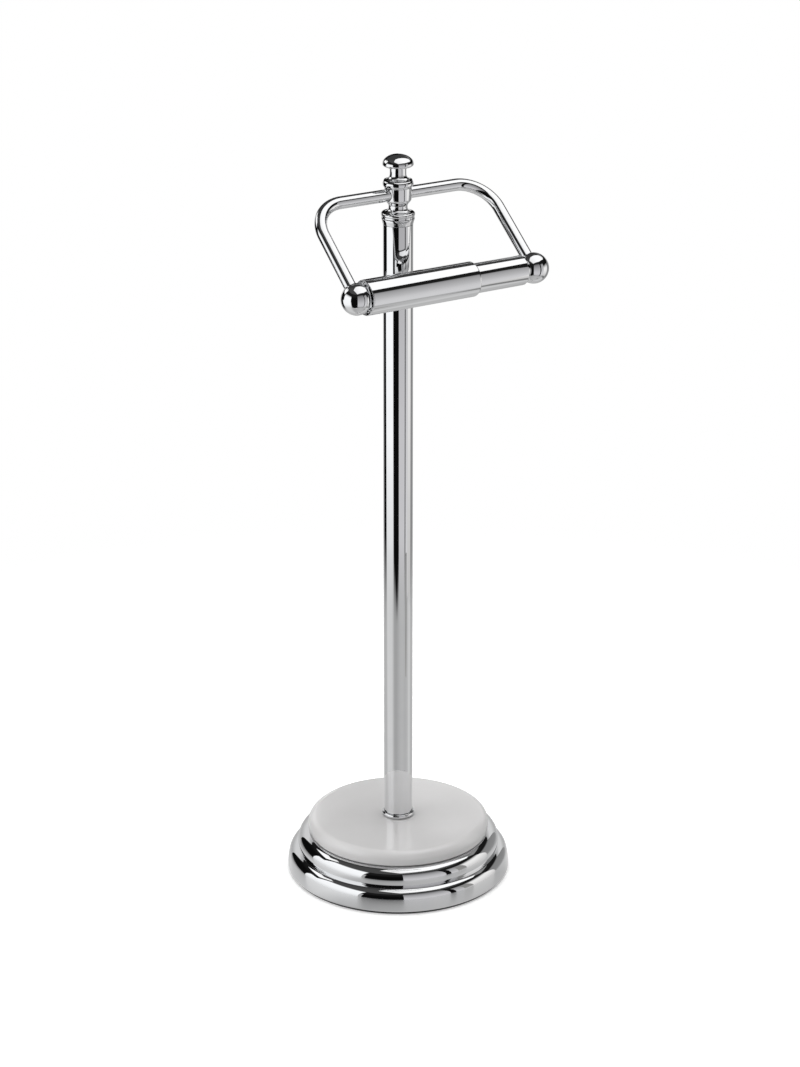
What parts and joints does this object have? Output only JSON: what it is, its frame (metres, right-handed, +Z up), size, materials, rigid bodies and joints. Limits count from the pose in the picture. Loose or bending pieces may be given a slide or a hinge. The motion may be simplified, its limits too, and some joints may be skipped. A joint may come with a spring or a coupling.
{
  "type": "freestanding toilet paper holder",
  "caption": "Chrome stand for a toilet roll: a stepped round base with a white disc, a slim column, a turned finial, and a bent wire hoop that carries a sprung roller.",
  "frame": {"origin": "middle of the base on the floor", "axes": "+Z up along the column, +X along the roller to its narrow half, -Y towards the user, where the hoop's arms reach"},
  "size_m": [0.162, 0.16, 0.525],
  "materials": {
    "chrome": "mirror polished plate",
    "roller_chrome": "polished plate",
    "white_glaze": "glossy glaze",
    "cast_iron": "rough cast",
    "black_rubber": "matte",
    "foam": "matte foam",
    "zinc_steel": "zinc plated",
    "spring_steel": "drawn wire"
  },
  "bodies": {
    "stand": {"base_cover": "chrome", "foot_pad": "black_rubber", "base_weight": "cast_iron", "base_disc": "white_glaze", "disc_gasket": "foam", "base_bolt": "zinc_steel", "bolt_washer": "zinc_steel", "lock_washer": "zinc_steel", "column_tube": "chrome", "column_foot_ring": "chrome", "column_lower_insert": "zinc_steel", "column_upper_insert": "zinc_steel", "column_collar": "chrome", "finial_stud": "zinc_steel", "finial_body": "chrome", "finial_knob": "chrome", "hoop_wire": "chrome", "ball_left": "chrome", "ball_right": "chrome"},
    "roller_outer": {"roller_outer_sleeve": "roller_chrome", "roller_outer_cap": "roller_chrome", "roller_spring": "spring_steel"},
    "roller_inner": {"roller_inner_sleeve": "roller_chrome", "roller_inner_cap": "roller_chrome"}
  },
  "joints": [
    {"name": "roller_spin", "type": "hinge", "parent": "stand", "child": "roller_outer", "pos_m": [0, -0.05791, 0.4495], "axis": [1, 0, 0], "continuous": true},
    {"name": "roller_slide", "type": "slide", "parent": "roller_outer", "child": "roller_inner", "axis": [1, 0, 0], "range_m": [-0.012, 0], "stiffness_N_per_m": 300, "springref_m": 0.015, "deforming": ["roller_spring"]}
  ]
}
